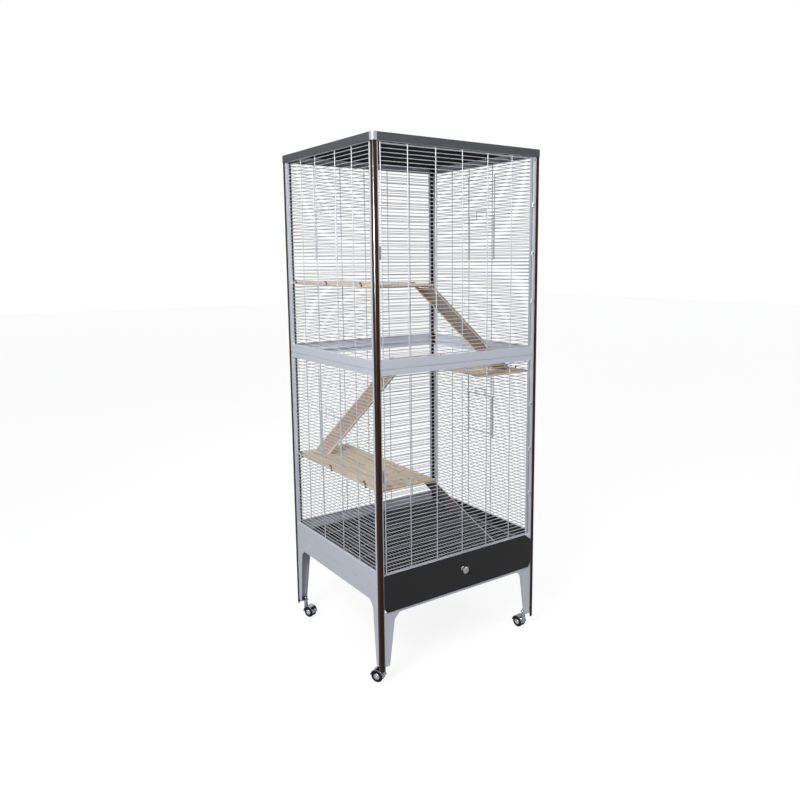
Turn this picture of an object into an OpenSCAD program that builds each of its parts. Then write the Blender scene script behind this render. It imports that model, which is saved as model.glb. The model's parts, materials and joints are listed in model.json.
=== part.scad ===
// Tall wire cage on castors: two tiers of welded wire walls in sheet-steel frames, a large
// wire door on the front of each tier, sliding feed doors in the side walls, a pull-out
// tray under a wire floor, and wooden shelves joined by hanging ramps.
// Front is -Y, right is +X, up is +Z. The origin is on the floor under the middle.

/* [Overall size] */
// Width over the corner posts
cage_w = 650; // [600:5:760]
// Depth over the corner posts
cage_d = 610; // [570:5:720]
// Height from the floor to the top of the lid
cage_h = 1700; // [1660:5:1900]

/* [Lid] */
// Height of the lid's rim
lid_rim = 24; // [18:1:34]
// Thickness of the lid's sheet
lid_sheet = 1.2; // [0.8:0.1:2]
// Gap between the lid's rim and the posts
lid_gap = 0.3; // [0.1:0.1:1]
// Thickness of the bright cap on the lid's near corner
cap_sheet = 1; // [0.6:0.1:2]

/* [Corner posts] */
// Width of each leg of a post's angle section
post_leg = 14; // [12:0.5:18]
// Thickness of the post's section
post_t = 2.5; // [2:0.1:3]
// Radius of the post's outer corner
post_r = 6; // [3:0.5:7]
// Height of the posts' lower ends above the floor
post_bottom = 49; // [47:1:58]
// Reach of the lip inside the back posts, which holds the back panels
lip_reach = 24; // [20:0.5:26.5]
// Thickness of that lip
lip_t = 1.5; // [1:0.1:2]

/* [Wall frames] */
// Thickness of the frames' sheet
frame_sheet = 1.2; // [0.8:0.1:1.5]
// Depth of the frames' channel section
frame_depth = 10; // [9:0.5:14]
// Height of the joint between the upper and the lower walls
seam_z = 1014; // [1000:1:1030]
// Height of the lower edge of the lower side walls
skirt_z = 320; // [315:1:330]
// Height of the upper walls' bottom rail
upper_sill = 28; // [22:1:36]
// Height of the lower walls' top rail
lower_head = 19; // [14:1:26]
// Height of the lower side walls' bottom rail
lower_sill = 53; // [44:1:58]
// Distance from a cage corner to the opening of a side or back wall
side_edge = 27; // [22:1:32]
// Distance from the left corner to the edge of the front's latch stile
latch_edge = 19; // [17:0.5:22]
// Distance from the right corner to the edge of the front's hinge stile
hinge_edge = 24.5; // [22:0.5:28]
// Gap between one wall frame and what stands below it
joint_gap = 1.2; // [0.4:0.1:2]
// Height of the rail behind the top of the drawer front
front_rail_h = 29; // [24:1:34]
// Width of the dark slot beside each post at the joints
slot_w = 4; // [2:0.5:6]
// Height of that slot
slot_h = 10; // [6:1:14]

/* [Wire walls] */
// Distance between the thin horizontal wires
wire_pitch = 12; // [10:0.5:16]
// Diameter of the thin wires
wire_d = 2.4; // [1.8:0.1:2.6]
// Diameter of the upright wires
rib_d = 3; // [2.6:0.1:4]
// Depth at which the upright and the thin wires of a wall meet
weld_depth = 7.5; // [7:0.1:8]
// Distance between the upright wires of the front and the back
rib_pitch = 102; // [90:1:120]
// Clear width of the bay that holds a feed door
feed_bay = 135; // [110:1:150]

/* [Front doors] */
// Gap around each door
door_gap = 3; // [2:0.5:4]
// Diameter of the door's edge wires
door_edge_d = 3.5; // [3:0.1:4.5]
// Depth at which the upright and the thin wires of a door meet
door_weld = 4.7; // [4.5:0.1:5]
// Width of the strip that carries the door's hinges
door_strip_w = 9; // [7:0.5:12]
// Gap that the hinges stand in, between that strip and the stile
hinge_gap = 6; // [6:0.2:7]
// Distance from the middle hinge to the outer ones
hinge_pitch = 160; // [120:5:200]
// Diameter of the hinge pins
pin_d = 3; // [2.6:0.1:3.4]
// Radial clearance of pins and rods that turn or slide in a bore
run_gap = 0.05; // [0.02:0.01:0.1]
// Height of a hinge knuckle
knuckle_h = 6; // [5:0.5:12]
// Height of a magnet catch
catch_h = 40; // [26:1:60]
// Thickness of a magnet catch
catch_t = 8; // [6:0.5:10]

/* [Feed doors] */
// Height of the feed opening above the lower edge of the wall's opening
feed_rise = 312; // [240:12:312]
// Number of wire bays that the feed opening is high
feed_bays = 12; // [8:1:12]
// Distance from the upright wire to the rod that guides the door
guide_offset = 7.5; // [7:0.1:9]
// Height of the wire loop that lifts the door
pull_h = 20; // [14:1:22]
// Width of that loop
pull_w = 56; // [40:1:70]

/* [Floor and tray] */
// Height of the top of the wire floor
floor_z = 350; // [346:1:352]
// Diameter of the floor's bars
bar_d = 2; // [1.8:0.1:3]
// Diameter of the bars that cross below
cross_d = 3.5; // [3:0.1:4]
// Width of the open strip between the walls and the floor's bars
grate_margin = 22; // [4:1:26]
// Number of the bars that cross below
cross_count = 7; // [4:1:10]
// Height of the underside of the tray
tray_z = 288; // [286:0.5:292]
// Height of the tray
tray_h = 46; // [36:1:46]
// Thickness of the tray's walls
tray_wall = 2; // [1.5:0.1:3]
// Distance from a cage corner to the side of the tray
tray_inset = 28; // [27:0.5:32]
// Height of the lower edge of the drawer front
drawer_z0 = 243; // [240:1:248]
// Height of the upper edge of the drawer front
drawer_z1 = 367; // [365:0.5:368]
// Thickness of the drawer front
drawer_t = 2.2; // [1.5:0.1:2.3]
// Gap between the drawer front and each post
drawer_gap = 3; // [2:0.5:5]
// Width of the slanted lower corners of the drawer front
chamfer_w = 9; // [4:1:16]
// Height of those slanted corners
chamfer_h = 15; // [8:1:24]
// Width of the slanted upper right corner of the drawer front
notch_w = 27; // [10:1:32]
// Height of that slanted corner
notch_h = 20; // [8:1:24]
// Diameter of the drawer's knob
knob_d = 24; // [18:1:32]
// Distance that the knob stands out
knob_out = 22; // [16:1:30]

/* [Base] */
// Thickness of the legs' and aprons' sheet
leg_sheet = 1.5; // [1.2:0.1:2]
// Height of the legs' lower ends above the floor
leg_bottom = 62; // [61:0.5:66]
// Width of a leg's front face at its top
leg_front_top = 55; // [46:1:62]
// Width of a leg's front face at its lower end
leg_front_low = 35; // [33:1:42]
// Depth of the fold along the inner edge of a leg's front face
leg_fold = 12; // [6:0.5:14]
// Width of a leg's side face at its top
leg_side_top = 48; // [42:1:56]
// Width of a leg's side face at its lower end
leg_side_low = 32; // [30:1:38]
// Height of the lower edge of the side and back aprons
apron_z = 272; // [262:1:280]
// Height of the lower edge of the rail under the drawer
under_rail_z = 234; // [224:1:237]
// Size of the slanted corner between a leg and its apron
gusset = 20; // [14:1:28]

/* [Castors] */
// Diameter of the castor wheels
wheel_d = 40; // [38:0.5:41]
// Width of one of the two wheels of a castor
wheel_w = 9; // [7:0.5:11]
// Distance from the swivel to the wheels' axle
trail = 20; // [18:0.5:21]
// Distance from the cage's faces to the swivel
castor_inset = 24; // [22:0.5:27]
// Diameter of the castor's fixed stem
stem_d = 8; // [6:0.5:10]
// Diameter of the wheels' axle
axle_d = 5; // [4:0.5:6]
// Thickness of the plate that the stem hangs from
plate_t = 2; // [1.5:0.1:3]

/* [Shelves] */
// Height of the top of the upper shelf
upper_shelf_z = 1265; // [1240:1:1300]
// Height of the top of the middle shelf
middle_shelf_z = 957; // [930:1:972]
// Height of the top of the lower shelf
lower_shelf_z = 637; // [610:1:660]
// Distance from the wall's face to the free edge of a side shelf
shelf_reach = 228; // [200:1:240]
// Thickness of the planks
plank_t = 6; // [5:0.5:9]
// Number of planks in a shelf
plank_count = 4; // [3:1:6]
// Gap between planks
plank_gap = 4; // [2:0.5:8]
// Width of the battens under the planks
batten_w = 22; // [16:1:30]
// Thickness of those battens
batten_t = 5; // [4:0.5:8]
// Distance from a shelf's long edges to the ends of its battens
batten_setback = 14; // [8:1:24]
// Distance from a shelf's front and back ends to the outer battens
batten_inset = 60; // [40:1:90]
// Width of the strap hooks that hang the shelves
hook_w = 5; // [4:0.5:12]

/* [Ramps] */
// Width of a ramp
ramp_w = 100; // [80:1:110]
// Distance from the front face to the side of the two ramps at the front
ramp_front = 29; // [28:1:40]
// Horizontal run of the upper ramp
upper_run = 325; // [300:1:340]
// Horizontal run of the middle ramp
middle_run = 330; // [300:1:335]
// Horizontal run of the lower ramp
lower_run = 261; // [240:1:280]
// Width of a ramp's side rails
rail_w = 5; // [4:0.5:8]
// Height of those rails
rail_h = 8; // [7:0.5:12]
// Thickness of the board between the rails
board_t = 4; // [3:0.5:6]
// Distance between the grip cleats on the board
cleat_pitch = 30; // [20:1:45]
// Diameter of the wire that a ramp hangs from
hook_d = 3; // [2.5:0.5:4]

/* [Hidden] */
$fn = 32;

steel_grey = "#c3c8d2";
wire_white = "#e6e8ec";
post_brown = "#35200f";
charcoal = "#3a3b3d";
pine = "#dcc08a";
chrome = "#c9ccd0";
black = "#1c1c1e";

eps = 0.01;
rest_gap = 0.3;
hw = cage_w / 2;
hd = cage_d / 2;
lid_out = lid_gap + lid_sheet;
lid_z = cage_h - lid_rim;
roof_z = cage_h - lid_sheet;
frame_in = post_t + frame_depth;
slide_gap = 0.2;
lip_in = frame_in + lip_t;
back_x = post_t + lip_t + slide_gap;
upper_z0 = seam_z + upper_sill;
upper_z1 = lid_z;
lower_z0 = skirt_z + lower_sill;
lower_top = seam_z - joint_gap;
lower_z1 = seam_z - lower_head;
base_top = skirt_z - joint_gap;
front_rail_z1 = drawer_z1 - 1;
front_rail_z0 = front_rail_z1 - front_rail_h;

// Places what is drawn on a wall: x runs along the wall, y into the cage, z up.
module on_front() { translate([-hw, -hd, 0]) children(); }
module on_right() { translate([hw, -hd, 0]) rotate(90) children(); }
module on_back() { translate([hw, hd, 0]) rotate(180) children(); }
module back_right() { translate([hw, hd, 0]) rotate(180) children(); }
module on_left() { mirror([1, 0, 0]) on_right() children(); }

// A plate drawn on a wall as an outline in x and z, with its outer face at depth y.
module wall_plate(y, t) {
    translate([0, y + t, 0]) rotate([90, 0, 0]) linear_extrude(t) children();
}

module rounded_rect(w, d, r) {
    square([w - 2 * r, d], center = true);
    square([w, d - 2 * r], center = true);
    for (sx = [-1, 1]) {
        for (sy = [-1, 1]) translate([sx * (w / 2 - r), sy * (d / 2 - r)]) circle(r);
    }
}

// Rods along each axis, from a point towards the positive end.
module rod_x(x0, x1, y, z, d) { translate([x0, y, z]) rotate([0, 90, 0]) cylinder(h = x1 - x0, d = d); }
module rod_y(x, y0, y1, z, d) { translate([x, y0, z]) rotate([-90, 0, 0]) cylinder(h = y1 - y0, d = d); }
module rod_z(x, y, z0, z1, d) { translate([x, y, z0]) cylinder(h = z1 - z0, d = d); }

// ---- lid ----
lid_r = post_r + lid_out;

module lid_outline(grow) {
    rounded_rect(cage_w + 2 * (lid_out + grow), cage_d + 2 * (lid_out + grow), lid_r + grow);
}

module lid() {
    color(charcoal) difference() {
        translate([0, 0, lid_z]) linear_extrude(lid_rim) lid_outline(0);
        translate([0, 0, lid_z - 1]) linear_extrude(roof_z - lid_z + 1) lid_outline(-lid_sheet);
    }
}

// A cap over the rim at the front left corner.
module lid_corner_cap() {
    color(steel_grey) translate([0, 0, lid_z]) linear_extrude(lid_rim) intersection() {
        difference() {
            lid_outline(cap_sheet);
            lid_outline(0);
        }
        translate([-hw, -hd]) square(2 * post_leg, center = true);
    }
}

// ---- corner posts ----
module post() {
    color(post_brown) translate([0, 0, post_bottom]) linear_extrude(roof_z - post_bottom) difference() {
        union() {
            translate([post_r, 0]) square([post_leg - post_r, post_leg]);
            translate([0, post_r]) square([post_leg, post_leg - post_r]);
            translate([post_r, post_r]) circle(post_r);
        }
        translate([post_t, post_t]) square(post_leg);
    }
}

// A back post also has a lip on the inside, which the edge of the back panels slides behind.
module back_post() {
    post();
    color(post_brown) translate([0, 0, skirt_z]) linear_extrude(roof_z - skirt_z) {
        translate([post_t - eps, post_t - eps]) square([lip_t, frame_depth + lip_t]);
        translate([post_t, frame_in]) square([lip_reach - post_t, lip_t]);
    }
}

// ---- wall frames ----
function channel_section(w) = [
    [0, 0], [w, 0], [w, frame_depth], [w - frame_sheet, frame_depth],
    [w - frame_sheet, frame_sheet], [frame_sheet, frame_sheet], [frame_sheet, frame_depth], [0, frame_depth]
];

// An upright channel, open towards the inside of the cage.
module stile(x0, x1, z0, z1) {
    translate([x0, post_t, z0]) linear_extrude(z1 - z0) polygon(channel_section(x1 - x0));
}

module rail(x0, x1, z0, z1) {
    translate([x0, post_t, z0]) rotate([90, 0, 90]) linear_extrude(x1 - x0)
        polygon([for (p = channel_section(z1 - z0)) [p[1], p[0]]]);
}

// A window frame: two stiles between a bottom and a top rail.
module wall_frame(x0, x1, z0, z1, edge0, edge1, sill, head) {
    rail(x0, x1, z0, z0 + sill);
    rail(x0, x1, z1 - head, z1);
    stile(x0, edge0, z0 + sill, z1 - head);
    stile(edge1, x1, z0 + sill, z1 - head);
}

// Cuts a small slot beside each post through the outer face of a rail.
module slotted(width, slot_z) {
    difference() {
        children();
        for (x = [post_leg + 2, width - post_leg - 2 - slot_w]) {
            translate([x, post_t - 1, slot_z - slot_h / 2]) cube([slot_w, frame_sheet + 1 + eps, slot_h]);
        }
    }
}

module upper_frame_side() {
    color(steel_grey) slotted(cage_d, seam_z)
        wall_frame(frame_in, cage_d - lip_in - slide_gap, seam_z, roof_z, side_edge, cage_d - side_edge,
            upper_sill, roof_z - upper_z1);
}

module lower_frame_side() {
    color(steel_grey) slotted(cage_d, skirt_z) slotted(cage_d, seam_z)
        wall_frame(frame_in, cage_d - lip_in - slide_gap, skirt_z, lower_top, side_edge, cage_d - side_edge,
            lower_sill, lower_top - lower_z1);
}

module upper_frame_back() {
    color(steel_grey) on_back() slotted(cage_w, seam_z)
        wall_frame(back_x, cage_w - back_x, seam_z, roof_z, side_edge, cage_w - side_edge,
            upper_sill, roof_z - upper_z1);
}

module lower_frame_back() {
    color(steel_grey) on_back() slotted(cage_w, skirt_z) slotted(cage_w, seam_z)
        wall_frame(back_x, cage_w - back_x, skirt_z, lower_top, side_edge, cage_w - side_edge,
            lower_sill, lower_top - lower_z1);
}

module upper_frame_front() {
    color(steel_grey) on_front() slotted(cage_w, seam_z)
        wall_frame(post_t, cage_w - post_t, seam_z, roof_z, latch_edge, cage_w - hinge_edge,
            upper_sill, roof_z - upper_z1);
}

// The lower front frame's stiles run down past its rail to the top of the legs.
module lower_frame_front() {
    color(steel_grey) on_front() {
        slotted(cage_w, seam_z) wall_frame(post_t, cage_w - post_t, front_rail_z0, lower_top,
            latch_edge, cage_w - hinge_edge, front_rail_h, lower_top - lower_z1);
        stile(post_t, latch_edge, drawer_z0, front_rail_z0);
        stile(cage_w - hinge_edge, cage_w - post_t, drawer_z0, front_rail_z0);
    }
}

// ---- wire walls ----
rib_y = weld_depth - rib_d / 2;
wire_y = weld_depth + wire_d / 2;
function wire_rows(z0, z1, pitch) = floor((z1 - z0 - wire_d) / pitch);

module wall_wires(width, z0, z1, ribs) {
    for (i = [1:wire_rows(z0, z1, wire_pitch)]) {
        rod_x(side_edge, width - side_edge, wire_y, z0 + i * wire_pitch, wire_d);
    }
    for (x = ribs) rod_z(x, rib_y, z0, z1, rib_d);
}

back_ribs = [for (i = [-2:2]) cage_w / 2 + i * rib_pitch];

module upper_grid_back() { color(wire_white) on_back() wall_wires(cage_w, upper_z0, upper_z1, back_ribs); }
module lower_grid_back() { color(wire_white) on_back() wall_wires(cage_w, lower_z0, lower_z1, back_ribs); }

// A side wall has an opening in its middle bay, between two of its upright wires.
feed_x0 = (cage_d - feed_bay) / 2;
feed_x1 = (cage_d + feed_bay) / 2;
side_bay = (feed_x0 - side_edge) / 2;
side_ribs = [side_edge + side_bay, feed_x0, feed_x1, cage_d - side_edge - side_bay];
feed_row = floor(feed_rise / wire_pitch);
feed_h = feed_bays * wire_pitch;

// Guide rods: they stand off the wall and turn back to it at both ends.
guide_d = rib_d;
guide_y = guide_d / 2 + 0.7;
guide_x0 = feed_x0 - guide_offset;
guide_x1 = feed_x1 + guide_offset;

module guide_rod(x, z0, z1) {
    rod_z(x, guide_y, z0, z1, guide_d);
    for (z = [z0, z1]) {
        translate([x, guide_y, z]) sphere(d = guide_d);
        rod_y(x, guide_y, weld_depth, z, guide_d);
    }
}

module side_wires(z0, z1) {
    for (i = [1:wire_rows(z0, z1, wire_pitch)]) {
        z = z0 + i * wire_pitch;
        if (i > feed_row && i < feed_row + feed_bays) {
            rod_x(side_edge, feed_x0 + rib_d / 2, wire_y, z, wire_d);
            rod_x(feed_x1 - rib_d / 2, cage_d - side_edge, wire_y, z, wire_d);
        } else {
            rod_x(side_edge, cage_d - side_edge, wire_y, z, wire_d);
        }
    }
    for (x = side_ribs) rod_z(x, rib_y, z0, z1, rib_d);
    for (x = [guide_x0, guide_x1]) {
        guide_rod(x, z0 + (feed_row - 1) * wire_pitch, z0 + (feed_row + 2 * feed_bays) * wire_pitch);
    }
}

// ---- front doors ----
door_x0 = latch_edge + hinge_gap;
door_x1 = cage_w - hinge_edge - hinge_gap;
strip_x0 = door_x1 - door_strip_w;
hinge_x = door_x1 + hinge_gap / 2;
hinge_y = 2.2;
door_rib_y = door_weld - rib_d / 2;
door_wire_y = door_weld + wire_d / 2;
knuckle_r = hinge_gap / 2 - 0.4;
strip_t = 1.2;
striker_h = 24;
striker_w = 6;

function door_low(z0) = z0 + door_gap;
function door_high(z1) = z1 - door_gap;
function tier_middle(z0, z1) = (z0 + z1) / 2;

module door(z0, z1) {
    low = door_low(z0);
    high = door_high(z1);
    edge_x = door_x0 + door_edge_d / 2;
    edge_y = door_weld - door_edge_d / 2;
    rod_z(edge_x, edge_y, low, high, door_edge_d);
    for (i = [-2:2]) rod_z(cage_w / 2 + i * rib_pitch, door_rib_y, low, high, rib_d);
    for (z = [low, high]) {
        rod_x(edge_x, strip_x0 + door_strip_w / 2, door_weld + door_edge_d / 2,
            z == low ? low + door_edge_d / 2 : high - door_edge_d / 2, door_edge_d);
    }
    for (i = [1:wire_rows(low, high, wire_pitch)]) {
        rod_x(edge_x, strip_x0 + door_strip_w / 2, door_wire_y, low + i * wire_pitch, wire_d);
    }
    door_strip(low, high, tier_middle(z0, z1));
    translate([door_x0, door_weld + wire_d, tier_middle(z0, z1) - striker_h / 2])
        cube([striker_w, frame_in - door_weld - wire_d - rest_gap, striker_h]);
}

// The strip along the hinge side, with a knuckle for each hinge.
module door_strip(low, high, middle) {
    difference() {
        union() {
            translate([strip_x0, door_weld - strip_t, low]) cube([door_strip_w, strip_t, high - low]);
            for (i = [-1:1]) {
                translate([0, 0, middle + i * hinge_pitch - knuckle_h / 2]) {
                    translate([hinge_x, hinge_y, 0]) cylinder(h = knuckle_h, r = knuckle_r);
                    translate([door_x1 - 1, door_weld - strip_t, 0])
                        cube([hinge_x - door_x1, strip_t, knuckle_h]);
                }
            }
        }
        for (i = [-1:1]) {
            translate([hinge_x, hinge_y, middle + i * hinge_pitch - knuckle_h / 2 - 1])
                cylinder(h = knuckle_h + 2, r = pin_d / 2 + run_gap);
        }
    }
}

module upper_front_door() { color(wire_white) on_front() door(upper_z0, upper_z1); }
module lower_front_door() { color(wire_white) on_front() door(front_rail_z1, lower_z1); }

// Fixed half of a hinge: a plate on the stile, two lugs and the pin between them.
lug_h = knuckle_h / 2;
hinge_plate_w = 4;

module hinge_bracket() {
    stile_x = cage_w - hinge_edge;
    plate_h = knuckle_h + 2 * (lug_h + rest_gap);
    translate([stile_x, post_t - 1.5, -plate_h / 2]) cube([hinge_plate_w, 1.5, plate_h]);
    for (s = [-1, 1]) {
        translate([0, 0, s > 0 ? knuckle_h / 2 + rest_gap : -knuckle_h / 2 - rest_gap - lug_h]) {
            translate([hinge_x, hinge_y, 0]) cylinder(h = lug_h, r = knuckle_r);
            translate([hinge_x, hinge_y - knuckle_r, 0])
                cube([stile_x + hinge_plate_w - hinge_x, post_t - hinge_y + knuckle_r, lug_h]);
        }
    }
    rod_z(hinge_x, hinge_y, -plate_h / 2, plate_h / 2, pin_d);
}

module door_hinges() {
    color(steel_grey) on_front() {
        for (middle = [tier_middle(upper_z0, upper_z1), tier_middle(front_rail_z1, lower_z1)]) {
            for (i = [-1:1]) translate([0, 0, middle + i * hinge_pitch]) hinge_bracket();
        }
    }
}

// Magnet blocks behind the latch stile, which hold the steel block on each door.
module door_catches() {
    catch_x = frame_in + rest_gap;
    color(steel_grey) on_front() {
        for (middle = [tier_middle(upper_z0, upper_z1), tier_middle(front_rail_z1, lower_z1)]) {
            translate([catch_x, frame_in, middle - catch_h / 2])
                cube([door_x0 + striker_w - catch_x, catch_t, catch_h]);
        }
    }
}

// ---- feed doors ----
eye_h = 6;
eye_r = 3;

// Each door is a small wire panel, hung by four eyes on the two guide rods outside the wall.
module feed_door(z0) {
    sill = z0 + feed_row * wire_pitch;
    low = sill - wire_pitch + guide_d / 2 + rest_gap;
    high = sill + feed_h + wire_d / 2;
    side_x = guide_offset / 2 + 1.2;
    outer_y = guide_y - guide_d / 2 - wire_d / 2;
    for (s = [0, 1]) {
        gx = s == 0 ? guide_x0 : guide_x1;
        vx = s == 0 ? gx + side_x : gx - side_x;
        difference() {
            union() {
                rod_z(vx, guide_y, low, high, guide_d);
                for (z = [low, high - eye_h]) {
                    rod_z(gx, guide_y, z, z + eye_h, 2 * eye_r);
                    translate([min(gx, vx), guide_y - 1, z]) cube([side_x, 2, eye_h]);
                }
            }
            rod_z(gx, guide_y, low - 1, high + 1, guide_d + 2 * run_gap);
        }
    }
    for (i = [0:feed_bays]) {
        rod_x(guide_x0 + side_x, guide_x1 - side_x, outer_y, sill + i * wire_pitch, wire_d);
    }
    feed_pull(sill + feed_h, outer_y);
}

module feed_pull(z, y) {
    mid = cage_d / 2;
    pull_d = 2.4;
    for (s = [-1, 1]) {
        rod_z(mid + s * pull_w / 2, y + wire_d / 2 + pull_d / 2, z - wire_pitch, z + pull_h, pull_d);
        translate([mid + s * pull_w / 2, y + wire_d / 2 + pull_d / 2, z + pull_h]) sphere(d = pull_d);
    }
    rod_x(mid - pull_w / 2, mid + pull_w / 2, y + wire_d / 2 + pull_d / 2, z + pull_h, pull_d);
}

// ---- wire floor ----
bar_z = floor_z - bar_d / 2;
cross_z = floor_z - bar_d - cross_d / 2;
grate_z0 = floor_z - bar_d - cross_d;
grate_x = hw - frame_in - 1;
grate_y = hd - lip_in - 0.5;
ledge_w = 16;

module floor_grate() {
    bars = floor(2 * (grate_x - grate_margin - cross_d) / wire_pitch);
    bar_y = grate_y - grate_margin;
    color(wire_white) {
        for (i = [0:bars]) rod_y((i - bars / 2) * wire_pitch, -bar_y, bar_y, bar_z, bar_d);
        for (i = [0:cross_count - 1]) {
            y = (i / (cross_count - 1) - 0.5) * 2 * (bar_y - cross_d);
            rod_x(-grate_x, grate_x, y, cross_z, cross_d);
        }
    }
}

// Angle strips on the side walls, which the wire floor lies on.
module grate_ledge() {
    ledge_len = cage_d - 2 * side_edge;
    color(black) translate([side_edge, frame_in, grate_z0 - frame_sheet]) {
        cube([ledge_len, ledge_w, frame_sheet]);
        cube([ledge_len, 1, lower_z0 - 0.5 - grate_z0 + frame_sheet]);
    }
}

module grate_ledges() {
    on_right() grate_ledge();
    on_left() grate_ledge();
}

// ---- tray and drawer front ----
module drawer_tray() {
    tray_len = cage_d - drawer_t - frame_in - 6;
    color(black) on_front() translate([tray_inset, drawer_t, tray_z]) difference() {
        cube([cage_w - 2 * tray_inset, tray_len, tray_h]);
        translate([tray_wall, tray_wall, tray_wall])
            cube([cage_w - 2 * tray_inset - 2 * tray_wall, tray_len - 2 * tray_wall, tray_h]);
    }
}

module drawer_front() {
    x0 = post_leg + drawer_gap;
    x1 = cage_w - post_leg - drawer_gap;
    color(charcoal) on_front() wall_plate(0, drawer_t) polygon([
        [x0 + chamfer_w, drawer_z0], [x1 - chamfer_w, drawer_z0], [x1, drawer_z0 + chamfer_h],
        [x1, drawer_z1 - notch_h], [x1 - notch_w, drawer_z1], [x0 + 3, drawer_z1], [x0, drawer_z1 - 3],
        [x0, drawer_z0 + chamfer_h]
    ]);
}

module drawer_knob() {
    color(chrome) on_front() translate([cage_w / 2, 0, (drawer_z0 + drawer_z1) / 2 + 10])
        rotate([90, 0, 0]) rotate_extrude() polygon([
            [0, 0], [knob_d * 0.3, 0], [knob_d * 0.3, 2], [knob_d * 0.2, 4], [knob_d * 0.2, knob_out - 11],
            [knob_d / 2, knob_out - 7], [knob_d / 2, knob_out - 3], [knob_d * 0.36, knob_out], [0, knob_out]
        ]);
}

// Angle runners inside the side aprons, which carry the tray.
module drawer_runners() {
    runner_w = tray_inset + 8 - post_t - leg_sheet;
    runner_y0 = leg_front_top + gusset;
    runner_len = cage_d - 2 * runner_y0;
    runner_z = tray_z - rest_gap - leg_sheet;
    color(steel_grey) for (s = [0, 1]) {
        mirror([s, 0, 0]) on_right() translate([runner_y0, post_t + leg_sheet, runner_z]) {
            cube([runner_len, runner_w, leg_sheet]);
            cube([runner_len, leg_sheet, base_top - runner_z]);
        }
    }
}

// ---- base ----
// One face of a leg: a tapering flange with a slanted corner that runs into the apron.
// Above step_z it starts at step_x, which leaves room for a frame's stile.
module leg_flange(low, top, arch_z, top_z, step_x, step_z) {
    wall_plate(post_t, leg_sheet) polygon([
        [post_t, leg_bottom], [low, leg_bottom], [top, arch_z - gusset], [top + gusset, arch_z],
        [top + gusset, top_z], [step_x, top_z], [step_x, step_z], [post_t, step_z]
    ]);
}

// The inner edge of a leg's front or back face is folded inwards.
module leg_edge(low, top, arch_z) {
    foot = leg_bottom + plate_t + 1;
    low_x = low + (top - low) * (foot - leg_bottom) / (arch_z - gusset - leg_bottom);
    wall_plate(post_t + leg_sheet / 2, leg_fold - leg_sheet / 2) translate([-rest_gap, 0]) polygon([
        [low_x, foot], [top, arch_z - gusset], [top + gusset, arch_z],
        [top + gusset, arch_z + 1.4 * leg_sheet], [top - leg_sheet, arch_z - gusset + 0.6 * leg_sheet],
        [low_x - leg_sheet, foot]
    ]);
}

module front_leg() {
    color(steel_grey) translate([-hw, -hd, 0]) {
        leg_flange(leg_front_low, leg_front_top, under_rail_z, drawer_z0, post_t + 1, drawer_z0);
        leg_edge(leg_front_low, leg_front_top, under_rail_z);
        rotate(90) mirror([0, 1, 0])
            leg_flange(leg_side_low, leg_side_top, apron_z, base_top, frame_in, drawer_z0);
    }
}

module back_leg() {
    color(steel_grey) translate([hw, hd, 0]) {
        rotate(180) leg_flange(leg_front_low, leg_front_top, apron_z, base_top, post_t + 1, base_top);
        rotate(180) leg_edge(leg_front_low, leg_front_top, apron_z);
        rotate(-90) mirror([0, 1, 0])
            leg_flange(leg_side_low, leg_side_top, apron_z, base_top, post_t + 1, base_top);
    }
}

module apron(width, leg_w) {
    x0 = leg_w + gusset;
    color(steel_grey) wall_plate(post_t, leg_sheet)
        translate([x0, apron_z]) square([width - 2 * x0, base_top - apron_z]);
}

// Thin rail under the drawer front, folded back along its top.
module under_rail() {
    x0 = leg_front_top + gusset;
    color(steel_grey) on_front() {
        wall_plate(post_t, leg_sheet)
            translate([x0, under_rail_z]) square([cage_w - 2 * x0, drawer_z0 - under_rail_z]);
        translate([x0, post_t, drawer_z0 - leg_sheet]) cube([cage_w - 2 * x0, 16, leg_sheet]);
    }
}

// ---- castors ----
castor_x = hw - castor_inset;
castor_y = hd - castor_inset;
castor_places = [[-castor_x, -castor_y], [castor_x, -castor_y], [castor_x, castor_y], [-castor_x, castor_y]];
// Direction in which each castor trails
castor_turn = [121, 98, 40, -65];
wheel_r = wheel_d / 2;
web_t = 6;
side_play = 0.5;
hood_gap = 1.2;
hood_t = 1.8;
hood_r = wheel_r + hood_gap + hood_t;
collar_r = stem_d / 2 + 3;
collar_top = leg_bottom - 0.375 * stem_d;
socket_z = collar_top - 1.5 * stem_d;

module castor_at(i) {
    translate([castor_places[i][0], castor_places[i][1], 0]) rotate(castor_turn[i]) children();
}

// A plate in the foot of a leg, with the stem, its washer and its nut.
module castor_stem() {
    reach = castor_inset - post_t - leg_sheet;
    translate([-reach, -reach, leg_bottom]) cube([reach + stem_d, reach + stem_d, plate_t]);
    rod_z(0, 0, socket_z + rest_gap, leg_bottom + plate_t + 1.1 * stem_d, stem_d);
    rod_z(0, 0, collar_top + rest_gap, leg_bottom, 2 * stem_d);
    translate([0, 0, leg_bottom + plate_t]) cylinder(h = 0.8 * stem_d, d = 1.8 * stem_d, $fn = 6);
}

module castor_stems() {
    color(chrome) for (x = [0, 1]) {
        for (y = [0, 1]) mirror([x, 0, 0]) mirror([0, y, 0])
            translate([-castor_x, -castor_y, 0]) castor_stem();
    }
}

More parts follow.
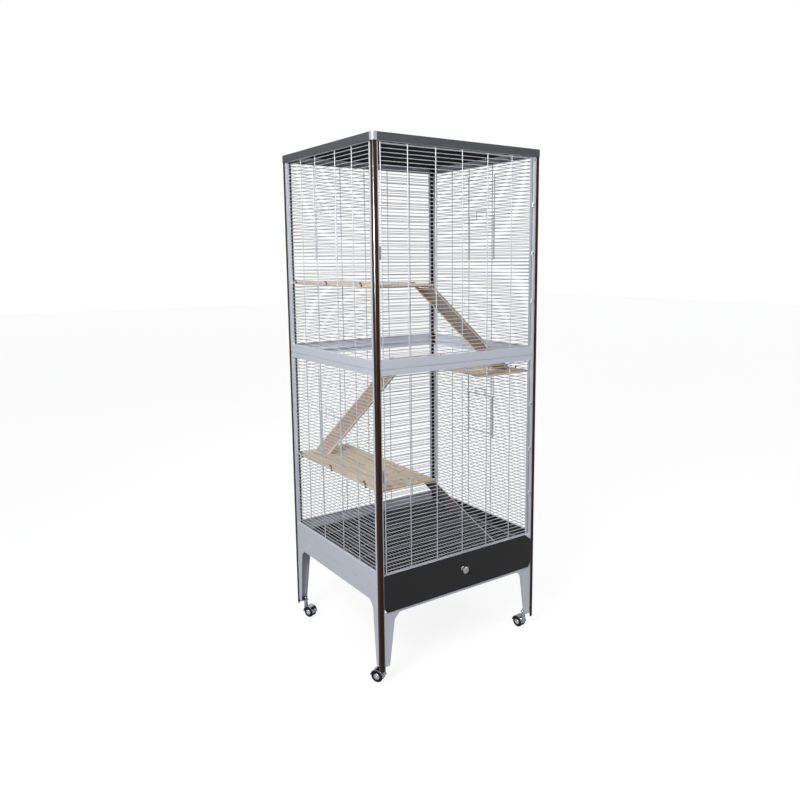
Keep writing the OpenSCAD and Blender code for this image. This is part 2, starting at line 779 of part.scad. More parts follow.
// Hood and web in one piece, turning on the stem.
module castor_fork() {
    half_w = web_t / 2 + side_play + wheel_w + 0.8;
    color(chrome) difference() {
        union() {
            rod_z(0, 0, wheel_r + 8, collar_top, 2 * collar_r);
            rod_y(trail, -web_t / 2, web_t / 2, wheel_r, axle_d + 8);
            translate([trail, half_w, wheel_r]) rotate([90, 0, 0]) linear_extrude(2 * half_w) intersection() {
                circle(hood_r);
                translate([-hood_r, 0]) square(2 * hood_r);
            }
        }
        for (s = [0, 1]) mirror([0, s, 0])
            rod_y(trail, web_t / 2, half_w + 1, wheel_r, 2 * (hood_r - hood_t));
        rod_z(0, 0, socket_z, collar_top + 1, stem_d + 2 * run_gap);
        rod_y(trail, -half_w, half_w, wheel_r, axle_d + 2 * run_gap);
    }
}

// Two wheels on their axle.
module castor_wheels() {
    inner = web_t / 2 + side_play;
    color(black) {
        rod_y(trail, -inner - 2, inner + 2, wheel_r, axle_d);
        for (s = [0, 1]) translate([trail, 0, wheel_r]) mirror([0, s, 0]) rotate([-90, 0, 0])
            rotate_extrude($fn = 48) polygon([
                [0, inner], [wheel_r - 2, inner], [wheel_r, inner + 2], [wheel_r, inner + wheel_w - 2],
                [wheel_r - 2, inner + wheel_w], [0, inner + wheel_w]
            ]);
    }
}

// ---- shelves ----
shelf_in = lip_in + 0.5;
shelf_front = frame_in + catch_t + 0.5;
plank_len = cage_d - shelf_front - shelf_in;
shelf_w = shelf_reach - shelf_in;
batten_places = [batten_inset, plank_len / 2, plank_len - batten_inset];
hook_places = [for (y = batten_places) y + (batten_w + hook_w) / 2 + 3];

// A shelf against the left wall: planks from front to back over three battens.
module shelf(top) {
    plank_w = (shelf_w - (plank_count - 1) * plank_gap) / plank_count;
    color(pine) on_front() translate([shelf_in, shelf_front, top - plank_t]) {
        for (i = [0:plank_count - 1]) {
            translate([i * (plank_w + plank_gap), 0, 0]) cube([plank_w, plank_len, plank_t]);
        }
        for (y = batten_places) {
            translate([batten_setback, y - batten_w / 2, -batten_t])
                cube([shelf_w - 2 * batten_setback, batten_w, batten_t]);
        }
    }
}

// A strap hook: over a wire of the wall, down past the shelf's edge and under its plank.
strap_t = 1.5;
hook_foot = 26;
function hook_wire_z(top, z0) = z0 + ceil((top + 4 - z0) / wire_pitch) * wire_pitch;

module shelf_hook(top, z0) {
    wire_z = hook_wire_z(top, z0) + wire_d / 2;
    foot = top - plank_t;
    outside = weld_depth - 0.2;
    inside = weld_depth + wire_d + 0.2;
    translate([-hook_w / 2, 0, 0]) rotate([90, 0, 90]) linear_extrude(hook_w) polygon([
        [outside - strap_t, wire_z - 4], [outside, wire_z - 4], [outside, wire_z],
        [inside, wire_z], [inside, foot - strap_t],
        [shelf_in + hook_foot, foot - strap_t], [shelf_in + hook_foot, foot], [inside + strap_t, foot],
        [inside + strap_t, wire_z + strap_t], [outside - strap_t, wire_z + strap_t]
    ]);
}

module shelf_hooks() {
    color(black) {
        for (y = hook_places) {
            on_left() translate([shelf_front + y, 0, 0]) {
                shelf_hook(upper_shelf_z, upper_z0);
                shelf_hook(lower_shelf_z, lower_z0);
            }
            on_right() translate([shelf_front + y, 0, 0]) shelf_hook(middle_shelf_z, lower_z0);
        }
    }
}

// ---- ramps ----
// A ramp turns about its hanger's pin and its lower end rests on what is below.
pin_out = hook_d / 2 + 0.3;
pin_drop = plank_t + rail_h / 2 + 1;
ramp_back = cage_d - 22 - ramp_w;
function drop(top, land) = top - pin_drop - land - rest_gap;
function ramp_len(run, down) = sqrt(run * run + down * down - rail_h * rail_h / 4);
function ramp_angle(run, down) = atan2(down, run) - atan2(rail_h / 2, ramp_len(run, down));

module ramp(run, down) {
    length = ramp_len(run, down);
    color(pine) rotate([0, ramp_angle(run, down), 0]) {
        for (y = [0, ramp_w - rail_w]) difference() {
            union() {
                translate([0, y, -rail_h / 2]) cube([length, rail_w, rail_h]);
                rod_y(0, y, y + rail_w, 0, rail_h);
            }
            rod_y(0, y - 1, y + rail_w + 1, 0, hook_d + 2 * run_gap);
        }
        translate([8, rail_w, -board_t / 2]) cube([length - 10, ramp_w - 2 * rail_w, board_t]);
        for (x = [cleat_pitch:cleat_pitch:length - cleat_pitch / 2]) {
            translate([x - 3, rail_w, board_t / 2]) cube([6, ramp_w - 2 * rail_w, 2]);
        }
    }
}

// The two front ramps fall to the right, and the back one falls to the left.
module falling_right(top) {
    translate([-hw + shelf_reach + pin_out, -hd + ramp_front, top - pin_drop]) children();
}
module falling_left(top) {
    translate([hw - shelf_reach - pin_out, -hd + ramp_back, top - pin_drop]) mirror([1, 0, 0]) children();
}

module upper_ramp() {
    falling_right(upper_shelf_z) ramp(upper_run, drop(upper_shelf_z, middle_shelf_z));
}

module middle_ramp() {
    falling_left(middle_shelf_z) ramp(middle_run, drop(middle_shelf_z, lower_shelf_z));
}

module lower_ramp() {
    falling_right(lower_shelf_z) ramp(lower_run, drop(lower_shelf_z, floor_z));
}

// A bent wire: the pin through the ramp's rails, and two arms that hook over the shelf.
module ramp_hanger() {
    arm_d = hook_d - 1;
    up = pin_drop + arm_d / 2;
    rod_y(0, -arm_d, ramp_w + arm_d, 0, hook_d);
    for (y = [-arm_d, ramp_w + arm_d]) {
        translate([0, y, 0]) sphere(d = hook_d);
        rod_z(0, y, 0, up, arm_d);
        translate([0, y, up]) sphere(d = arm_d);
        rod_x(-pin_out - 16, 0, y, up, arm_d);
    }
}

module ramp_hangers() {
    color(black) {
        falling_right(upper_shelf_z) ramp_hanger();
        falling_left(middle_shelf_z) ramp_hanger();
        falling_right(lower_shelf_z) ramp_hanger();
    }
}

lid();
lid_corner_cap();
translate([-hw, -hd, 0]) post();  // post_front_left
translate([hw, -hd, 0]) rotate(90) post();  // post_front_right
back_right() back_post();  // post_back_right
mirror([1, 0, 0]) back_right() back_post();  // post_back_left
upper_frame_front();
on_right() upper_frame_side();  // upper_frame_right
upper_frame_back();
on_left() upper_frame_side();  // upper_frame_left
lower_frame_front();
on_right() lower_frame_side();  // lower_frame_right
lower_frame_back();
on_left() lower_frame_side();  // lower_frame_left
color(wire_white) on_right() side_wires(upper_z0, upper_z1);  // upper_grid_right
upper_grid_back();
color(wire_white) on_left() side_wires(upper_z0, upper_z1);  // upper_grid_left
color(wire_white) on_right() side_wires(lower_z0, lower_z1);  // lower_grid_right
lower_grid_back();
color(wire_white) on_left() side_wires(lower_z0, lower_z1);  // lower_grid_left
upper_front_door();
lower_front_door();
door_hinges();
door_catches();
color(wire_white) on_left() feed_door(upper_z0);  // feed_door_upper_left
color(wire_white) on_right() feed_door(upper_z0);  // feed_door_upper_right
color(wire_white) on_left() feed_door(lower_z0);  // feed_door_lower_left
color(wire_white) on_right() feed_door(lower_z0);  // feed_door_lower_right
floor_grate();
grate_ledges();
drawer_tray();
drawer_front();
drawer_knob();
drawer_runners();
under_rail();
on_right() apron(cage_d, leg_side_top);  // apron_right
on_back() apron(cage_w, leg_front_top);  // apron_back
on_left() apron(cage_d, leg_side_top);  // apron_left
front_leg();  // leg_front_left
mirror([1, 0, 0]) front_leg();  // leg_front_right
back_leg();  // leg_back_right
mirror([1, 0, 0]) back_leg();  // leg_back_left
castor_stems();
castor_at(0) castor_fork();  // castor_fork_front_left
castor_at(1) castor_fork();  // castor_fork_front_right
castor_at(2) castor_fork();  // castor_fork_back_right
castor_at(3) castor_fork();  // castor_fork_back_left
castor_at(0) castor_wheels();  // castor_wheels_front_left
castor_at(1) castor_wheels();  // castor_wheels_front_right
castor_at(2) castor_wheels();  // castor_wheels_back_right
castor_at(3) castor_wheels();  // castor_wheels_back_left
shelf(upper_shelf_z);  // upper_shelf
mirror([1, 0, 0]) shelf(middle_shelf_z);  // middle_shelf
shelf(lower_shelf_z);  // lower_shelf
shelf_hooks();
upper_ramp();
middle_ramp();
lower_ramp();
ramp_hangers();
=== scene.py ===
import json
from math import cos, radians, sin

import bpy
from mathutils import Matrix, Vector


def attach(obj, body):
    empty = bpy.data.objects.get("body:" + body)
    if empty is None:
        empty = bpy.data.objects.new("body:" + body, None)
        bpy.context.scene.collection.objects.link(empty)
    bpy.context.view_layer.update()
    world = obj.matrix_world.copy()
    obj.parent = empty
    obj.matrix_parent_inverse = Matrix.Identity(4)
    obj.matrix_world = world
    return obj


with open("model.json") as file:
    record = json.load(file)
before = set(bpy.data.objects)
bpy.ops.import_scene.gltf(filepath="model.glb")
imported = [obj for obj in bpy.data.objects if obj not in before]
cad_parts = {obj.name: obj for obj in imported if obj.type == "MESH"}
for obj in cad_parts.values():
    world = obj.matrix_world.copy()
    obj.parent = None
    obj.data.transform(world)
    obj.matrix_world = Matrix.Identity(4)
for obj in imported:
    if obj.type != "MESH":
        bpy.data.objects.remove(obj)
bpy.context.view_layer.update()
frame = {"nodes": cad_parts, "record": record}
nodes = frame["nodes"]

# ---- Camera and light ----
# The cage stands on a white studio floor in soft, even light, and is seen from a little below
# its lid, with its near corner a little to the left of the middle.
camera_data = bpy.data.cameras.new("camera")
camera_data.lens = 33.0225
camera_data.shift_x = -0.04095
camera_data.shift_y = -0.03553
camera_data.clip_end = 60
camera = bpy.data.objects.new("camera", camera_data)
bpy.context.collection.objects.link(camera)
camera_place = (-1.4375, -2.1502, 1.3358)
turn_right, tilt_down, roll = 35.5405, 8.5826, 0.2955
camera.matrix_world = (
    Matrix.Translation(camera_place)
    @ Matrix.Rotation(radians(-turn_right), 4, "Z")
    @ Matrix.Rotation(radians(90 - tilt_down), 4, "X")
    @ Matrix.Rotation(radians(-roll), 4, "Z")
)
bpy.context.scene.camera = camera
bpy.context.scene.view_settings.view_transform = "Standard"


def linear(hex_colour):
    """The linear colour of an sRGB hex value such as "c8cdd6"."""
    values = [int(hex_colour[i:i + 2], 16) / 255 for i in (0, 2, 4)]
    return [v / 12.92 if v < 0.04045 else ((v + 0.055) / 1.055) ** 2.4 for v in values] + [1]


def add(tree, kind, inputs=(), **settings):
    """Adds a shader node. Each input is a plain value or the socket that feeds it."""
    made = tree.nodes.new("ShaderNode" + kind)
    for name, value in settings.items():
        setattr(made, name, value)
    for name, value in dict(inputs).items():
        if isinstance(value, bpy.types.NodeSocket):
            tree.links.new(value, made.inputs[name])
        else:
            made.inputs[name].default_value = value
    return made


def blank(name):
    """A new material with an empty node tree, and that tree."""
    material = bpy.data.materials.new(name)
    material.use_nodes = True
    material.node_tree.nodes.clear()
    return material, material.node_tree


def area_light(name, size, place, aim, watts):
    """A soft box of that size in metres, which stands at a place and faces the aim."""
    data = bpy.data.lights.new(name, "AREA")
    data.shape = "RECTANGLE"
    data.size, data.size_y = size
    data.energy = watts
    lamp = bpy.data.objects.new(name, data)
    bpy.context.collection.objects.link(lamp)
    lamp.location = place
    lamp.rotation_euler = (Vector(aim) - Vector(place)).to_track_quat("-Z", "Y").to_euler()
    return lamp


def background_rays(tree):
    """1 for rays that show the background: from the camera, or through or off the object."""
    rays = add(tree, "LightPath").outputs
    seen = add(tree, "Math", {0: rays["Is Camera Ray"], 1: rays["Is Glossy Ray"]}, operation="MAXIMUM")
    every = add(tree, "Math", {0: seen.outputs[0], 1: rays["Is Transmission Ray"]}, operation="MAXIMUM")
    return every.outputs[0]


area_light("key_softbox", (1.5, 1.5), (-2.3, -1.4, 2.9), (0, 0, 1.3), 66)
area_light("front_softbox", (1.2, 1.2), (1.0, -2.3, 2.7), (0.1, 0, 1.3), 17)
area_light("back_softbox", (2.4, 2.0), (1.5, 3.2, 2.8), (0, 0, 1.0), 14)
# This one is seen only in reflections, as the bright line along the near post.
strip = area_light("highlight_strip", (1.1, 0.7), (-3.0, -1.7, 2.05), (-0.33, -0.3, 1.5), 560)
strip.data.spread = radians(70)
strip.visible_diffuse = False

world = bpy.data.worlds.new("studio")
bpy.context.scene.world = world
world.use_nodes = True
sky = world.node_tree
sky.nodes.clear()
fill = add(sky, "Background", {"Color": linear("f4f6fa"), "Strength": 0.46})
white = add(sky, "Background", {"Color": (1, 1, 1, 1), "Strength": 1.0})
mixed = add(sky, "MixShader", {"Fac": background_rays(sky), 1: fill.outputs[0], 2: white.outputs[0]})
add(sky, "OutputWorld", {"Surface": mixed.outputs[0]})

# The floor's paint takes the cage's shadow. Its glow is seen only by background rays, and
# lifts it to the white of a studio sweep.
bpy.ops.object.select_all(action="DESELECT")
bpy.ops.mesh.primitive_plane_add(size=40, location=(0, 0, 0))
floor = bpy.context.object
floor.name = "studio_floor"
material, tree = blank("white_studio_floor")
paint = add(tree, "BsdfPrincipled", {
    "Base Color": linear("7c7c7c"), "Roughness": 0.9, "Specular IOR Level": 0.1})
glow = add(tree, "Emission", {"Color": (1, 1, 1, 1), "Strength": 0.85})
lit = add(tree, "AddShader", {0: paint.outputs[0], 1: glow.outputs[0]})
kept = add(tree, "MixShader", {"Fac": background_rays(tree), 1: paint.outputs[0], 2: lit.outputs[0]})
add(tree, "OutputMaterial", {"Surface": kept.outputs[0]})
floor.data.materials.append(material)


# ---- Corner posts ----
# Rolled angle sections in glossy dark brown enamel. The enamel has a faint orange peel, so
# that the bright room breaks up along the rounded corner.
def enamel(name, colour, roughness, shine, peel_mm=2.5):
    """Sprayed and baked enamel: a smooth coloured film with a little orange peel and unevenness."""
    material, tree = blank(name)
    place = add(tree, "TexCoord").outputs["Object"]
    # Clouds of slightly thicker and thinner paint, about 110 mm wide.
    cloud = add(tree, "TexNoise", {"Vector": place, "Scale": 9.0, "Detail": 3.0})
    mottle = 0.04
    darker = [value * (1 - mottle) for value in linear(colour)[:3]] + [1]
    lighter = [min(value * (1 + mottle), 1) for value in linear(colour)[:3]] + [1]
    # On a colour Mix, inputs 6 and 7 are the two colours, and output 2 is the result.
    tint = add(tree, "Mix", {"Factor": cloud.outputs["Fac"], 6: darker, 7: lighter}, data_type="RGBA")
    skin = add(tree, "TexNoise", {"Vector": place, "Scale": 1000 / peel_mm, "Detail": 1.0})
    bump = add(tree, "Bump", {"Height": skin.outputs["Fac"], "Strength": 0.02, "Distance": 0.0004})
    # Smears from handling, about 33 mm wide.
    smear = add(tree, "TexNoise", {"Vector": place, "Scale": 30.0, "Detail": 4.0})
    rough = add(tree, "MapRange", {
        "Value": smear.outputs["Fac"], "To Min": roughness - 0.04, "To Max": roughness + 0.06})
    film = add(tree, "BsdfPrincipled", {
        "Base Color": tint.outputs[2], "Roughness": rough.outputs[0], "Normal": bump.outputs[0],
        "Specular IOR Level": shine})
    add(tree, "OutputMaterial", {"Surface": film.outputs[0]})
    return material


def finish_nodes(material, names):
    """Puts a finish on CAD nodes."""
    for name in names:
        for slot in nodes[name].material_slots:
            slot.material = material


def soften(names, width):
    """Rounds the sharp edges of CAD nodes, as a fold or a cut edge under paint is."""
    for name in names:
        weld = nodes[name].modifiers.new("weld", "WELD")
        weld.merge_threshold = 0.00002
        bevel = nodes[name].modifiers.new("bevel", "BEVEL")
        bevel.width = width
        bevel.segments = 2
        bevel.limit_method = "ANGLE"
        bevel.angle_limit = radians(40)


corners = ("front_left", "front_right", "back_right", "back_left")
posts = ["post_" + corner for corner in corners]
# Nearly black, with a brown cast where light falls on it and one sharp bright line.
finish_nodes(enamel("dark_brown_gloss_enamel", "352010", roughness=0.22, shine=0.08), posts)
soften(posts, 0.0004)

# ---- Lid ----
# A folded sheet-steel top in satin charcoal enamel, with a bright cap over its near corner.
# Inside it is coloured a matte dark grey, as painted shade under the lid, and mirrors nothing from
# below.
# Planes within the sheet of the rim and of the roof: only inner faces lie inside all three.
lid_inner_x, lid_inner_y, lid_inner_z = 0.3258, 0.3058, 1.6993
lid_enamel_and_painted_shade = enamel("charcoal_enamel_and_painted_shade", "56595c", roughness=0.50, shine=0.04)
tree = lid_enamel_and_painted_shade.node_tree
film = tree.nodes["Principled BSDF"]
place = add(tree, "SeparateXYZ", {"Vector": add(tree, "TexCoord").outputs["Object"]})
beside = add(tree, "Math", {0: place.outputs["X"]}, operation="ABSOLUTE")
along = add(tree, "Math", {0: place.outputs["Y"]}, operation="ABSOLUTE")
inside = add(tree, "Math", {0: beside.outputs[0], 1: lid_inner_x}, operation="LESS_THAN")
within = add(tree, "Math", {0: along.outputs[0], 1: lid_inner_y}, operation="LESS_THAN")
below = add(tree, "Math", {0: place.outputs["Z"], 1: lid_inner_z}, operation="LESS_THAN")
both = add(tree, "Math", {0: inside.outputs[0], 1: within.outputs[0]}, operation="MULTIPLY")
underside = add(tree, "Math", {0: both.outputs[0], 1: below.outputs[0]}, operation="MULTIPLY")
# Painted shade: the lid's inner faces are coloured dark for the shadow under the lid.
painted_shade_underside = add(tree, "BsdfPrincipled", {
    "Base Color": linear("28292b"), "Roughness": 0.9, "Specular IOR Level": 0.05})
lid_film_and_painted_shade = add(tree, "MixShader", {"Fac": underside.outputs[0], 1: film.outputs[0], 2: painted_shade_underside.outputs[0]})
tree.links.new(lid_film_and_painted_shade.outputs[0], tree.nodes["Material Output"].inputs["Surface"])
finish_nodes(lid_enamel_and_painted_shade, ["lid"])
soften(["lid"], 0.0006)
# The cap is painted the palest grey on the cage, as painted highlight where the near corner catches
# the light, and is dull enough not to glare.
cap_painted_highlight = enamel("pale_cap_painted_highlight", "b6bdc3", roughness=0.50, shine=0.06)
finish_nodes(cap_painted_highlight, ["lid_corner_cap"])

# ---- Wall frames ----
# Folded steel channels between the posts on every side, in pale blue-grey enamel with a satin
# gloss, so that their flat faces read evenly and their folds catch a soft line.
sides = ("front", "right", "back", "left")
frames = [tier + "_frame_" + side for tier in ("upper", "lower") for side in sides]
pale_enamel = enamel("pale_blue_grey_enamel", "cfd4df", roughness=0.40, shine=0.3)
finish_nodes(pale_enamel, frames)
soften(frames, 0.0004)

# ---- Wire walls, doors and floor ----
# Drawn steel wire, welded at each crossing and dipped. The walls' enamel is white and nearly
# matte, and the floor's is grey with a little shine along the top of each bar.
wires = [tier + "_grid_" + side for tier in ("upper", "lower") for side in sides[1:]]
wires += ["upper_front_door", "lower_front_door"]
wires += ["feed_door_" + tier + "_" + side for tier in ("upper", "lower") for side in ("left", "right")]
# Each wire reads as one fine pale line, with no glare along it.
wire_enamel = enamel("white_wire_enamel", "c2c6cc", roughness=0.45, shine=0.12, peel_mm=1.5)
floor_enamel = enamel("grey_floor_enamel", "888b91", roughness=0.35, shine=0.2, peel_mm=1.5)
finish_nodes(wire_enamel, wires)
finish_nodes(floor_enamel, ["floor_grate"])


# ---- Hinges and catches ----
# Small folded hinge plates in the frames' enamel, each held by a black domed rivet. The magnet
# catches are in the wires' white enamel, and a black screw joins the upper frame to its post.
def pick_faces(piece, test):
    """Selects in edit mode the faces whose centre and normal pass the test, and no others."""
    bpy.ops.object.mode_set(mode="OBJECT")
    for group in (piece.data.vertices, piece.data.edges):
        for part in group:
            part.select = False
    for face in piece.data.polygons:
        face.select = test(face.center, face.normal)
    bpy.ops.object.mode_set(mode="EDIT")
    bpy.ops.mesh.select_mode(type="FACE")


def stepped_disc(name, radius, depth, sides, steps):
    """A turned disc that faces up at the origin. Each step is an inset and a rise of its top."""
    bpy.ops.object.select_all(action="DESELECT")
    bpy.ops.mesh.primitive_cylinder_add(
        vertices=sides, radius=radius, depth=depth, location=(0, 0, depth / 2))
    disc = bpy.context.object
    disc.name = name
    bpy.ops.object.transform_apply(location=True, rotation=True, scale=True)
    pick_faces(disc, lambda centre, normal: normal.z > 0.9)
    for inset, rise in steps:
        bpy.ops.mesh.inset(thickness=inset)
        bpy.ops.transform.translate(value=(0, 0, rise))
    bpy.ops.object.mode_set(mode="OBJECT")
    return disc


def repeat(piece, name, places):
    """Copies a piece, each copy with its own mesh, to places that are given as matrices."""
    copies = []
    for place in places:
        copy = piece.copy()
        copy.data = piece.data.copy()
        copy.data.transform(place)
        bpy.context.collection.objects.link(copy)
        copies.append(copy)
    bpy.data.objects.remove(piece)
    bpy.ops.object.select_all(action="DESELECT")
    for copy in copies:
        copy.select_set(True)
    bpy.context.view_layer.objects.active = copies[0]
    if len(copies) > 1:
        bpy.ops.object.join()
    joined = bpy.context.view_layer.objects.active
    joined.name = name
    bpy.ops.object.shade_smooth_by_angle(angle=radians(35))
    return joined


def dress(piece, material, body):
    """Gives a new piece its finish and its body."""
    piece.data.materials.clear()
    piece.data.materials.append(material)
    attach(piece, body)


# The heights that each door hangs between, the distance between its hinges, and the X and Y of
# the rivets in their plates.
door_heights = ((1.042, 1.676), (0.366, 0.995))
hinge_pitch = 0.160
hinge_x, hinge_face = 0.3024, -0.3040
screw_place = (0.3030, -0.3025, 1.6660)
finish_nodes(pale_enamel, ["door_hinges"])
finish_nodes(wire_enamel, ["door_catches"])
# Satin black, so that small fasteners keep a faint rim of light.
black_enamel = enamel("black_enamel", "1b1b1d", roughness=0.40, shine=0.3)
facing_front = Matrix.Rotation(radians(90), 4, "X")
rivet = stepped_disc("rivet", radius=0.0021, depth=0.0004, sides=12, steps=(
    (0.0003, 0.0004), (0.0006, 0.0003), (0.0006, 0.0001)))
rivet_places = []
for low, high in door_heights:
    for i in (-1, 0, 1):
        rivet_z = (low + high) / 2 + i * hinge_pitch
        rivet_places.append(Matrix.Translation((hinge_x, hinge_face, rivet_z)) @ facing_front)
dress(repeat(rivet, "hinge_rivets", rivet_places), black_enamel, "cage")
screw = stepped_disc("screw", radius=0.0034, depth=0.0006, sides=16, steps=(
    (0.0005, 0.0008), (0.0009, 0.0004), (0.0010, -0.0007)))
screw_places = [Matrix.Translation(screw_place) @ facing_front]
dress(repeat(screw, "frame_screw", screw_places), black_enamel, "cage")

# ---- Base ----
# Tapering legs and aprons folded from sheet steel, in the frames' enamel, with the tray's
# runners spot-welded inside. The ledges under the wire floor are black.
base = ["leg_" + corner for corner in corners] + ["apron_right", "apron_back", "apron_left"]
base += ["under_rail", "drawer_runners"]
finish_nodes(pale_enamel, base)
soften(base, 0.0004)
finish_nodes(black_enamel, ["grate_ledges"])

# ---- Tray and drawer front ----
# A moulded black tray, matte from its mould, behind a folded steel front in satin anthracite
# enamel, with a turned knob that is plated and darkened.
anthracite_enamel = enamel("anthracite_enamel", "232325", roughness=0.40, shine=0.12)
finish_nodes(anthracite_enamel, ["drawer_front"])
soften(["drawer_front"], 0.0005)
# Takes all light, so that the gap round the drawer front stays black.
polypropylene = enamel("black_polypropylene", "040405", roughness=0.60, shine=0.03, peel_mm=0.8)
finish_nodes(polypropylene, ["drawer_tray"])


def bright_metal(name, colour, roughness):
    """Plated and polished metal with faint hairlines, drawn about 1.7 mm apart so that they show."""
    material, tree = blank(name)
    place = add(tree, "TexCoord").outputs["Object"]
    hair = add(tree, "TexNoise", {"Vector": place, "Scale": 600.0, "Detail": 2.0})
    rough = add(tree, "MapRange", {
        "Value": hair.outputs["Fac"], "To Min": roughness * 0.7, "To Max": roughness * 1.5})
    metal = add(tree, "BsdfPrincipled", {
        "Base Color": linear(colour), "Metallic": 1.0, "Roughness": rough.outputs[0]})
    add(tree, "OutputMaterial", {"Surface": metal.outputs[0]})
    return material


# Mirrors the studio a shade darker than clear chrome does.
finish_nodes(bright_metal("smoked_chrome", "8c8987", roughness=0.12), ["drawer_knob"])

# ---- Castors ----
# Twin-wheel castors with plated hoods on black rubber tyres. A domed chrome cap is pressed
# into the outer face of each wheel.
castor_x, castor_y = 0.301, 0.281
trail, wheel_radius, wheel_face = 0.020, 0.020, 0.0125
# Degrees from +X towards +Y in which each castor trails, and the signs of its corner's X and Y.
castor_turn = {"front_left": 121, "front_right": 98, "back_right": 40, "back_left": -65}
castor_sign = {
    "front_left": (-1, -1), "front_right": (1, -1), "back_right": (1, 1), "back_left": (-1, 1)}
# The hoods are grey and mirror-like, the tyres are dull and black, and the caps are brightest.
plated = bright_metal("plated_zinc", "7c8186", roughness=0.14)
tyre_rubber = enamel("black_tyre_rubber", "060607", roughness=0.55, shine=0.05)
finish_nodes(plated, ["castor_stems"] + ["castor_fork_" + corner for corner in corners])
finish_nodes(tyre_rubber, ["castor_wheels_" + corner for corner in corners])
hub_chrome = bright_metal("hub_chrome", "a4a9ae", roughness=0.10)
for corner in corners:
    turn = radians(castor_turn[corner])
    sx, sy = castor_sign[corner]
    wheel_x = sx * castor_x + trail * cos(turn)
    wheel_y = sy * castor_y + trail * sin(turn)
    wheel = Vector((wheel_x, wheel_y, wheel_radius))
    hub = stepped_disc("hub", radius=0.0095, depth=0.0006, sides=32, steps=(
        (0.0006, 0.0005), (0.0016, 0.0003), (0.0005, -0.0012), (0.0006, 0.0), (0.0005, 0.0016),
        (0.0016, 0.0008), (0.0018, 0.0004)))
    places = []
    for s in (1, -1):
        axle = Vector((-sin(turn), cos(turn), 0)) * s
        facing_out = axle.to_track_quat("Z", "Y").to_matrix().to_4x4()
        places.append(Matrix.Translation(wheel + axle * wheel_face) @ facing_out)
    dress(repeat(hub, "castor_hubs_" + corner, places), hub_chrome, "wheels_" + corner)


# ---- Shelves ----
# Planed pine planks on battens, bare, with their grain running from front to back. Each plank
# is nailed to every batten, and strap hooks in black enamel hang the shelf from the wires.
def pine(name, pale, dark, grain):
    """Planed softwood, its grain along X or Y, in streaks 5 mm wide and about 100 mm long."""
    material, tree = blank(name)
    place = add(tree, "TexCoord").outputs["Object"]
    squeeze = {"X": (2.0, 40.0, 40.0), "Y": (40.0, 2.0, 40.0)}[grain]
    stretched = add(tree, "Mapping", {"Vector": place, "Scale": squeeze})
    rings = add(tree, "TexNoise", {
        "Vector": stretched.outputs[0], "Scale": 5.0, "Detail": 5.0, "Distortion": 0.6})
    # The noise stays mostly between the two stops, so that pale and dark blend softly.
    tone = add(tree, "ValToRGB", {"Fac": rings.outputs["Fac"]})
    tone.color_ramp.elements[0].position = 0.36
    tone.color_ramp.elements[0].color = linear(dark)
    tone.color_ramp.elements[1].position = 0.62
    tone.color_ramp.elements[1].color = linear(pale)
    bump = add(tree, "Bump", {"Height": rings.outputs["Fac"], "Strength": 0.15, "Distance": 0.0005})
    wood = add(tree, "BsdfPrincipled", {
        "Base Color": tone.outputs["Color"], "Roughness": 0.55, "Normal": bump.outputs[0]})
    add(tree, "OutputMaterial", {"Surface": wood.outputs[0]})
    return material, tree, tone, wood


# Half the cage's width and depth, how far from its side the planks end and start, and the gaps
# between them. The battens' rows are measured from the cage's front.
half_w, half_d = 0.325, 0.305
shelf_reach, shelf_start, plank_gap, plank_count = 0.228, 0.0145, 0.004, 4
plank_w = (shelf_reach - shelf_start - (plank_count - 1) * plank_gap) / plank_count
shelf_front = 0.0210
batten_rows = [shelf_front + y for y in (0.060, 0.28725, 0.5145)]
# The height of each shelf's top, and the side that it hangs on: -1 is left.
shelf_tops = {"upper_shelf": (1.265, -1), "middle_shelf": (0.957, 1), "lower_shelf": (0.637, -1)}
# Warm and pale, with fine darker streaks along each plank.
planed_pine = pine("planed_pine", pale="e2d2b4", dark="c2a174", grain="Y")[0]
finish_nodes(planed_pine, shelf_tops)
soften(shelf_tops, 0.001)
finish_nodes(black_enamel, ["shelf_hooks", "ramp_hangers"])
# Dull grey heads that barely stand out from the wood, two where a plank crosses a batten.
nail_steel = bright_metal("wire_nail_steel", "6a665f", roughness=0.45)
for shelf, (top, side) in shelf_tops.items():
    nail = stepped_disc("nail", radius=0.0022, depth=0.0003, sides=8, steps=(
        (0.0006, 0.0002), (0.0008, 0.0001)))
    places = []
    for plank in range(plank_count):
        for row in batten_rows:
            for shift in (-0.3, 0.3):
                x = half_w - shelf_start - plank * (plank_w + plank_gap) - plank_w * (0.5 + shift)
                places.append(Matrix.Translation((side * x, row - half_d, top)))
    dress(repeat(nail, shelf + "_nails", places), nail_steel, "cage")

# ---- Ramps ----
# Pine boards with grip cleats nailed across, between side rails, their tone darkened as painted
# shade. A pale strip of painted highlight runs along the rails' upper edges, and along the upper
# ramp's lower edges too.
joints = {joint["name"]: joint for joint in frame["record"]["behaviour"]["joints"]}
# How far the rails' inner faces stand from a ramp's middle, and how far from the level of its
# pin, square to the boards, the painted highlight starts.
rail_inner, highlight_from = 0.0449, 0.0012
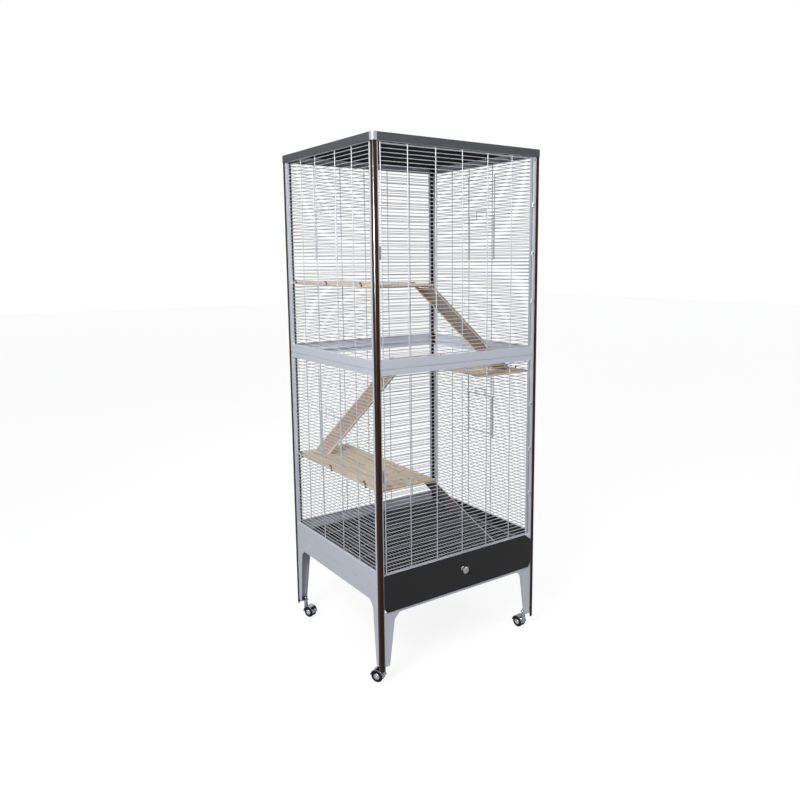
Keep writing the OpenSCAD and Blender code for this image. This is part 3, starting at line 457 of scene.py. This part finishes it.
# Each board's pale and dark tone: painted shade, light brown on top and nearly black at the bottom.
ramp_tones_and_painted_shade = {
    "upper_ramp": ("a98a6f", "6f533d"), "middle_ramp": ("c8ac97", "9a7c64"),
    "lower_ramp": ("4e3a2d", "251912")}
for ramp, (pale, dark) in ramp_tones_and_painted_shade.items():
    # The direction square to the ramp is found from its foot, the part furthest from its pin.
    pin = Vector(joints[ramp + "_lift"]["pos_m"])
    arms = [Vector((v.co.x - pin.x, 0, v.co.z - pin.z)) for v in nodes[ramp].data.vertices]
    reach = max(arm.length for arm in arms)
    foot = sum((arm for arm in arms if arm.length > reach - 0.0001), Vector())
    upright = Vector((-foot.z, 0, foot.x)).normalized()
    if upright.z < 0:
        upright.negate()
    material, tree, tone, wood = pine(ramp + "_stained_board_and_pine", pale, dark, grain="X")
    place = add(tree, "TexCoord").outputs["Object"]
    axes = add(tree, "SeparateXYZ", {"Vector": place})
    across = add(tree, "Math", {0: axes.outputs["Y"], 1: pin.y}, operation="SUBTRACT")
    away = add(tree, "Math", {0: across.outputs[0]}, operation="ABSOLUTE")
    outer = add(tree, "Math", {0: away.outputs[0], 1: rail_inner}, operation="GREATER_THAN")
    height = add(tree, "VectorMath", {0: place, 1: upright}, operation="DOT_PRODUCT")
    offset = add(tree, "Math", {0: height.outputs["Value"], 1: pin.dot(upright)}, operation="SUBTRACT")
    if ramp == "upper_ramp":
        offset = add(tree, "Math", {0: offset.outputs[0]}, operation="ABSOLUTE")
    edge = add(tree, "Math", {0: offset.outputs[0], 1: highlight_from}, operation="GREATER_THAN")
    painted_highlight_edge = add(tree, "Math", {0: outer.outputs[0], 1: edge.outputs[0]}, operation="MULTIPLY")
    # Painted highlight: a near-white pine tone on the rails' edges where light catches them.
    painted_highlight_tone = add(tree, "ValToRGB", {"Fac": tone.inputs["Fac"].links[0].from_socket})
    painted_highlight_tone.color_ramp.elements[0].color = linear("dcc6a0")
    painted_highlight_tone.color_ramp.elements[1].color = linear("f2e6d0")
    surface = add(tree, "Mix", data_type="RGBA", inputs={
        "Factor": painted_highlight_edge.outputs[0], 6: tone.outputs["Color"], 7: painted_highlight_tone.outputs["Color"]})
    tree.links.new(surface.outputs[2], wood.inputs["Base Color"])
    finish_nodes(material, [ramp])
soften(ramp_tones_and_painted_shade, 0.0008)
